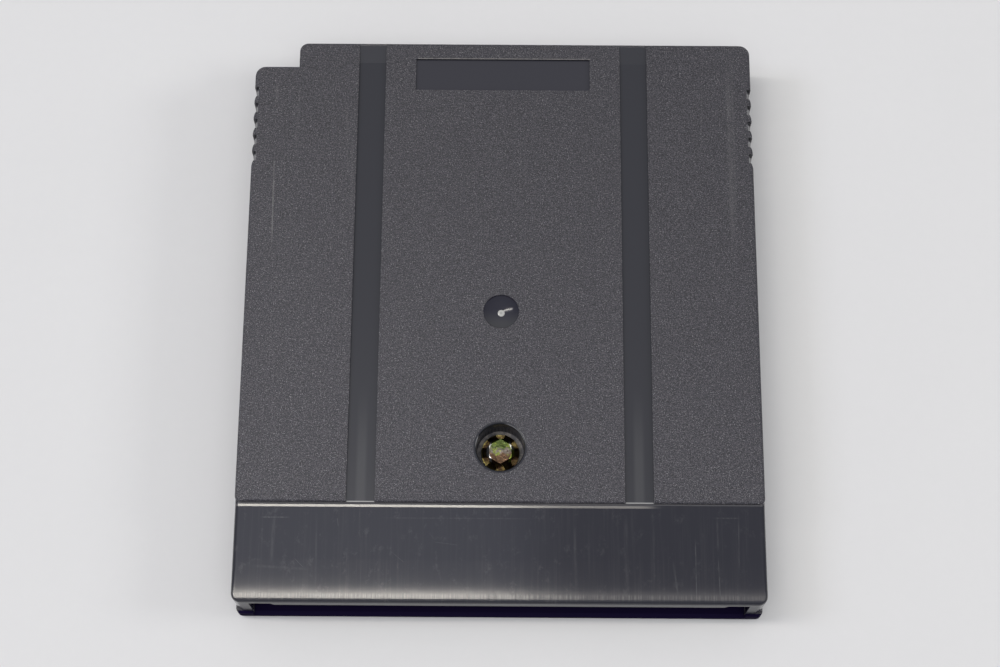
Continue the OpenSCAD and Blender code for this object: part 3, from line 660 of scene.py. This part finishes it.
def front_plastic():
    """Grained plastic with painted shade inside and along its lip at the mouth."""
    s = Shader("front_plastic")
    height = grain_height(s)
    hidden = s.product(within_walls(s), s.above(s.z, FRONT_HIDDEN_Z, soft=0.025))
    # Painted shade on the hidden inner faces and along the lip at the mouth
    dark = s.either(hidden, s.below(s.y, mouth_y + FRONT_DARK_L, soft=0.03))
    return s.finish(
        s.blend(dark, grain_colour(s, height), NAVY_SHADE),
        s.mix(dark, s.mix(height, *FRONT_ROUGH), FRONT_DARK_ROUGH),
        s.bump(s.product(height, s.outside(dark)), FRONT_GRAIN_RELIEF),
        Specular_IOR_Level=s.mix(dark, SPECULAR, HIDDEN_SPECULAR),
    )


# Screw
HEAD_PALE = (0.215, 0.188, 0.165)
HEAD_GREEN = (0.100, 0.135, 0.042)
HEAD_LIME = (0.250, 0.300, 0.060)
HEAD_BROWN = (0.130, 0.080, 0.050)
LAND_DARK = (0.080, 0.042, 0.024)
LAND_LIGHT = (0.235, 0.180, 0.065)
LAND_EDGE = (0.50, 0.42, 0.14)
CORNER_LIME = (0.42, 0.52, 0.09)
CORNER_GLINT = (0.85, 0.84, 0.81)
SHANK = (0.02, 0.015, 0.01)

# Radii of the head's middle, of its corners and of the lands' outer edge
HEAD_MIDDLE_R = 1.45
CORNER_R = (1.24, 1.55)
LAND_EDGE_R = 1.965

# Edges of the tints: how far up from the screw's middle, and how much the patterns bend them
UPPER_TINT_Y = 1.15
UPPER_TINT_BEND = 1.6
LOWER_TINT_Y = 0.775
LOWER_TINT_BEND = 2.0
LIME_LEVELS = (0.50, 0.64)
LAND_LEVELS = (0.38, 0.62)

# Painted glints at the head's corners, placed from the screw's middle, and depths below the top of the
# head
CORNER_X = 0.95
CORNER_GLINT_Y = 0.25
CORNER_DEPTH = 0.25
SHANK_DEPTH = 0.85
PLATING_ROUGH = (0.20, 0.40)
PLATING_RELIEF = 0.05


def plating():
    """Yellow-green passivated zinc, brown on the lands, with painted glints at the head's corners and a
    painted highlight on the lands' left edge.
    """
    s = Shader("screw_plating")
    from_middle = s.distance(0, screw_y)
    tint = s.noise(1.5, detail=3.0, roughness=0.6, shift=(2, 5, 1))
    pale = s.noise(1.1, stretch=(1.6, 0.8, 1), shift=(6, 1, 3))
    upper_y = s.math("MULTIPLY_ADD", pale, UPPER_TINT_BEND, s.y)
    lower_y = s.math("MULTIPLY_ADD", tint, LOWER_TINT_BEND, s.y)
    middle = s.blend(s.above(upper_y, screw_y + UPPER_TINT_Y, soft=0.3), HEAD_PALE, HEAD_GREEN)
    middle = s.blend(s.ramp(tint, *LIME_LEVELS), middle, HEAD_LIME)
    middle = s.blend(s.below(lower_y, screw_y + LOWER_TINT_Y, soft=0.175), middle, HEAD_BROWN)
    lands = s.blend(s.ramp(tint, *LAND_LEVELS), LAND_DARK, LAND_LIGHT)
    # Painted highlight along the lands' outer edge at the left
    left_edge_highlight = s.product(s.above(from_middle, LAND_EDGE_R, soft=0.035), s.below(s.x, 0, soft=0.4))
    lands = s.blend(left_edge_highlight, lands, LAND_EDGE)
    colour = s.blend(s.above(from_middle, HEAD_MIDDLE_R, soft=0.07), middle, lands)

    corners = s.product(
        s.above(from_middle, CORNER_R[0], soft=0.06),
        s.below(from_middle, CORNER_R[1], soft=0.05),
        s.above(s.z, head_top_z - CORNER_DEPTH, soft=0.1),
    )
    right = s.above(s.x, CORNER_X, soft=0.1)
    white_glint = s.either(
        s.below(s.x, -CORNER_X, soft=0.1),
        s.product(right, s.above(s.y, screw_y + CORNER_GLINT_Y, soft=0.15)),
    )
    # Painted glints at the head's corners: lime at the lower right, white at the left and upper right
    colour = s.blend(s.product(corners, right), colour, CORNER_LIME)
    colour = s.blend(s.product(corners, white_glint), colour, CORNER_GLINT)
    colour = s.blend(s.above(s.z, head_top_z - SHANK_DEPTH, soft=0.1), SHANK, colour)
    wavy = s.bump(s.noise(2.2), PLATING_RELIEF)
    return s.finish(colour, s.mix(tint, *PLATING_ROUGH), wavy, Metallic=1.0)


# Inside pieces
LAMINATE_DARK = (0.015, 0.11, 0.045)
LAMINATE_LIGHT = (0.04, 0.21, 0.09)
LAMINATE_ROUGH = 0.3
LAMINATE_RELIEF = 0.02
WEAVE_LEVELS = (0.12, 0.40)


def mottled(name, dark, light, rough, relief, metallic=0.0, **pattern):
    """Material that wavers between two colours and two roughnesses, with one pattern of noise."""
    s = Shader(name)
    patches = s.noise(**pattern)
    colour = s.blend(patches, dark, light)
    return s.finish(colour, s.mix(patches, *rough), s.bump(patches, relief), Metallic=metallic)


def tin():
    return mottled(
        "tin_metal", dark=(0.50, 0.50, 0.52), light=(0.78, 0.78, 0.79), rough=(0.28, 0.5), relief=0.01,
        metallic=1.0, scale=2.0, detail=3.0, roughness=0.6,
    )


def gold():
    """Contact pads, wiped along their length."""
    return mottled(
        "contact_gold", dark=(0.72, 0.50, 0.18), light=(0.92, 0.74, 0.38), rough=(0.2, 0.4), relief=0.004,
        metallic=1.0, scale=1.0, detail=3.0, roughness=0.6, stretch=(6, 0.3, 1),
    )


def steel():
    return mottled(
        "cell_steel", dark=(0.55, 0.56, 0.58), light=(0.72, 0.72, 0.74), rough=(0.18, 0.34), relief=0.004,
        metallic=1.0, scale=1.5, detail=3.0, roughness=0.6, stretch=(1, 4, 1),
    )


def resin():
    return mottled(
        "chip_resin", dark=(0.012, 0.012, 0.013), light=(0.035, 0.035, 0.037), rough=(0.5, 0.7),
        relief=0.015, scale=6.0, detail=3.0, roughness=0.6,
    )


def nylon():
    return mottled(
        "gasket_nylon", dark=(0.66, 0.65, 0.60), light=(0.80, 0.79, 0.75), rough=(0.4, 0.55), relief=0.01,
        scale=0.8,
    )


def ceramic(name, dark, light):
    return mottled(
        name, dark, light, rough=(0.35, 0.5), relief=0.01, scale=5.0, detail=3.0, roughness=0.6,
    )


def laminate():
    """Green board with the weave of its glass cloth."""
    s = Shader("board_laminate")
    warp = s.noise(2.2, stretch=(1, 0.2, 1))
    weft = s.noise(2.2, stretch=(0.2, 1, 1), shift=(5, 5, 0))
    weave = s.product(warp, weft)
    colour = s.blend(s.ramp(weave, *WEAVE_LEVELS), LAMINATE_DARK, LAMINATE_LIGHT)
    return s.finish(colour, LAMINATE_ROUGH, s.bump(weave, LAMINATE_RELIEF))


# Stage
TABLE_DARK = (0.715, 0.715, 0.715)
TABLE_LIGHT = (0.745, 0.745, 0.743)
TABLE_FIBRE = (0.68, 0.68, 0.68)
FIBRE_SHARE = 0.35
TABLE_ROUGH = 0.5
TABLE_SPECULAR = 0.2
TABLE_RELIEF = 0.01
TABLE_SIZE = 3.0


def floor_material():
    s = Shader("table")
    fibre = s.noise(0.8, detail=3.0, roughness=0.6, shift=(11, 2, 0))
    colour = s.blend(s.noise(0.05, detail=4.0, roughness=0.6), TABLE_DARK, TABLE_LIGHT)
    colour = s.blend(s.product(fibre, FIBRE_SHARE), colour, TABLE_FIBRE)
    return s.finish(colour, TABLE_ROUGH, s.bump(fibre, TABLE_RELIEF), Specular_IOR_Level=TABLE_SPECULAR)


def add_floor():
    bpy.ops.mesh.primitive_plane_add(size=TABLE_SIZE, location=(0, 0, 0))
    floor = bpy.context.object
    floor.name = "table"
    floor.data.materials.append(floor_material())


# Lamps: lengths in metres, and angles from straight above the part
CEILING = 2.5
TUBE_W = 0.1
TUBE_LEFT = math.radians(-14)
TUBE_RIGHT = math.radians(0.6)
TUBE_END = math.radians(16)
TUBE_LEAN = math.radians(4.75)
PANEL_W = 0.24
PANEL_LEFT = math.radians(-44)
GLOW_LEFT = math.radians(-48)
GLOW_RIGHT = math.radians(1)
GLOW_NEAR = math.radians(3)
GLOW_FAR = math.radians(15)
FILL_SIDE = math.radians(25)
FILL_NEAR = math.radians(-35)
FILL_FAR = math.radians(-8)
RIGHT_ANGLE = math.radians(60)
LEFT_ANGLE = math.radians(-46)
SIDE_DISTANCE = 1.0
SIDE_SIZE = 0.25
LAMP_STEPS = 32

# Each lamp gives a share of what falls on the table, as red, green and blue
TUBE_SHARE = (0.057, 0.054, 0.049)
PANEL_SHARE = (0.172, 0.165, 0.153)
TUBE_END_SHARE = (0.009, 0.0085, 0.008)
GLOW_SHARE = (0.020, 0.021, 0.025)
FILL_SHARE = (0.220, 0.219, 0.217)
RIGHT_SHARE = (0.085, 0.085, 0.085)
GLINT_SHARE = (0.020, 0.020, 0.020)
LEFT_SHARE = (0.085, 0.088, 0.105)
ROOM_SHARE = (0.335, 0.338, 0.355)

# The room is brighter overhead than at its walls, and plain grey where the camera sees past the table
WALL_LEVEL = 0.5
OVERHEAD_LEVEL = 1.35
BACKDROP = (0.74, 0.74, 0.74)


def add_lamp(name, place, size, share, target, reach):
    """Rectangular lamp aimed at a point. Reach is how much of its light gets to the table's middle."""
    data = bpy.data.lights.new(name, "AREA")
    data.shape = "RECTANGLE"
    data.size, data.size_y = size
    lamp = bpy.data.objects.new(name, data)
    bpy.context.scene.collection.objects.link(lamp)
    lamp.location = place
    lamp.rotation_euler = (Vector(target) - lamp.location).to_track_quat("-Z", "Y").to_euler()
    peak = max(share)
    data.color = [part / peak for part in share]
    # A white surface renders at the lamp's power times the reach, over pi squared
    data.energy = peak * math.pi ** 2 / reach
    return lamp


def add_ceiling_lamp(name, left, right, y0, y1, share):
    """Level lamp at the ceiling, between two angles from above the part."""
    x0, x1 = (CEILING * math.tan(angle) for angle in (left, right))
    x, y = (x0 + x1) / 2, (y0 + y1) / 2
    # A wide lamp's light falls off towards its ends, so its reach is a mean over its width
    steps = [x0 + (x1 - x0) * (k + 0.5) / LAMP_STEPS for k in range(LAMP_STEPS)]
    reach = sum(CEILING ** 2 / (CEILING ** 2 + step ** 2 + y ** 2) ** 2 for step in steps) / LAMP_STEPS
    return add_lamp(name, (x, y, CEILING), (x1 - x0, y1 - y0), share, (x, y, 0), reach)


def add_side_lamp(name, angle, share, shines):
    """Small lamp at one side, aimed at the part, that is seen in reflections if it shines."""
    place = (SIDE_DISTANCE * math.sin(angle), 0, SIDE_DISTANCE * math.cos(angle))
    reach = math.cos(angle) / SIDE_DISTANCE ** 2
    lamp = add_lamp(name, place, (SIDE_SIZE, SIDE_SIZE), share, (0, 0, 0), reach)
    lamp.visible_glossy = shines


def add_lamps():
    tube_y = CEILING * math.tan(TUBE_LEAN)
    for name, left, right, width, share in (
        ("tube", TUBE_LEFT, TUBE_RIGHT, TUBE_W, TUBE_SHARE),
        ("panel", PANEL_LEFT, TUBE_LEFT, PANEL_W, PANEL_SHARE),
        ("tube_end", TUBE_RIGHT, TUBE_END, TUBE_W, TUBE_END_SHARE),
    ):
        add_ceiling_lamp(name, left, right, tube_y - width / 2, tube_y + width / 2, share)
    near, far = (CEILING * math.tan(angle) for angle in (GLOW_NEAR, GLOW_FAR))
    add_ceiling_lamp("glow", GLOW_LEFT, GLOW_RIGHT, near, far, GLOW_SHARE)
    near, far = (CEILING * math.tan(angle) for angle in (FILL_NEAR, FILL_FAR))
    fill = add_ceiling_lamp("fill", -FILL_SIDE, FILL_SIDE, near, far, FILL_SHARE)
    fill.visible_glossy = False
    add_side_lamp("right", RIGHT_ANGLE, RIGHT_SHARE, False)
    add_side_lamp("right_glint", RIGHT_ANGLE, GLINT_SHARE, True)
    add_side_lamp("left", LEFT_ANGLE, LEFT_SHARE, False)


def light_room():
    world = bpy.data.worlds.new("room")
    bpy.context.scene.world = world
    world.use_nodes = True
    tree = world.node_tree
    direction = tree.nodes.new("ShaderNodeTexCoord")
    split = tree.nodes.new("ShaderNodeSeparateXYZ")
    tree.links.new(direction.outputs["Generated"], split.inputs[0])
    overhead = tree.nodes.new("ShaderNodeMapRange")
    overhead.interpolation_type = "SMOOTHSTEP"
    overhead.inputs["To Min"].default_value = WALL_LEVEL
    overhead.inputs["To Max"].default_value = OVERHEAD_LEVEL
    tree.links.new(split.outputs["Z"], overhead.inputs["Value"])
    room = tree.nodes.new("ShaderNodeVectorMath")
    room.operation = "SCALE"
    room.inputs[0].default_value = ROOM_SHARE
    tree.links.new(overhead.outputs["Result"], room.inputs["Scale"])
    path = tree.nodes.new("ShaderNodeLightPath")
    seen = tree.nodes.new("ShaderNodeMix")
    seen.data_type = "RGBA"
    seen.inputs[7].default_value = (*BACKDROP, 1)
    tree.links.new(path.outputs["Is Camera Ray"], seen.inputs[0])
    tree.links.new(room.outputs[0], seen.inputs[6])
    tree.links.new(seen.outputs[2], tree.nodes["Background"].inputs["Color"])


# Camera, fitted to the case's edges in the photograph, with its distance and target in millimetres
IMAGE_W = 1000
FOCAL_PX = 1971.3
SENSOR_W = 36
TILT = math.radians(18.23)
YAW = math.radians(0.385)
DISTANCE = 225.5
TARGET = Vector((-0.133, -0.010, 0))


def add_camera():
    data = bpy.data.cameras.new("camera")
    data.sensor_width = SENSOR_W
    data.lens = FOCAL_PX / IMAGE_W * SENSOR_W
    data.clip_start = 0.01
    data.clip_end = 20
    camera = bpy.data.objects.new("camera", data)
    bpy.context.scene.collection.objects.link(camera)
    upright = Vector((0, 0, 1))
    right = Vector((math.cos(YAW), math.sin(YAW), 0))
    away = Vector((-math.sin(YAW), math.cos(YAW), 0))
    up = math.cos(TILT) * away + math.sin(TILT) * upright
    look = math.sin(TILT) * away - math.cos(TILT) * upright
    turn = Matrix((right, up, -look)).transposed().to_4x4()
    camera.matrix_world = Matrix.Translation((TARGET - DISTANCE * look) * MM) @ turn
    bpy.context.scene.camera = camera


add_camera()
add_lamps()
light_room()
add_floor()
paint(back_plastic(), "back_shell")
paint(front_plastic(), "front_shell")
paint(plating(), "security_screw")
paint(laminate(), "circuit_board")
paint(gold(), "edge_contacts")
paint(resin(), "rom_chip", "mapper_chip", "ram_chip", "supervisor_chip")
paint(
    tin(),
    "rom_leads", "mapper_leads", "ram_leads", "supervisor_leads",
    "cell_tab_plus", "cell_tab_minus", "chip_terminals",
)
paint(steel(), "cell_can", "cell_cap")
paint(nylon(), "cell_gasket")
paint(
    ceramic("capacitor_ceramic", dark=(0.30, 0.20, 0.11), light=(0.50, 0.37, 0.24)),
    "capacitor_1", "capacitor_2", "capacitor_3", "capacitor_4",
)
paint(
    ceramic("resistor_body", dark=(0.02, 0.02, 0.02), light=(0.06, 0.06, 0.06)),
    "resistor_1", "resistor_2", "resistor_3",
)

bpy.context.scene.view_settings.view_transform = "Standard"
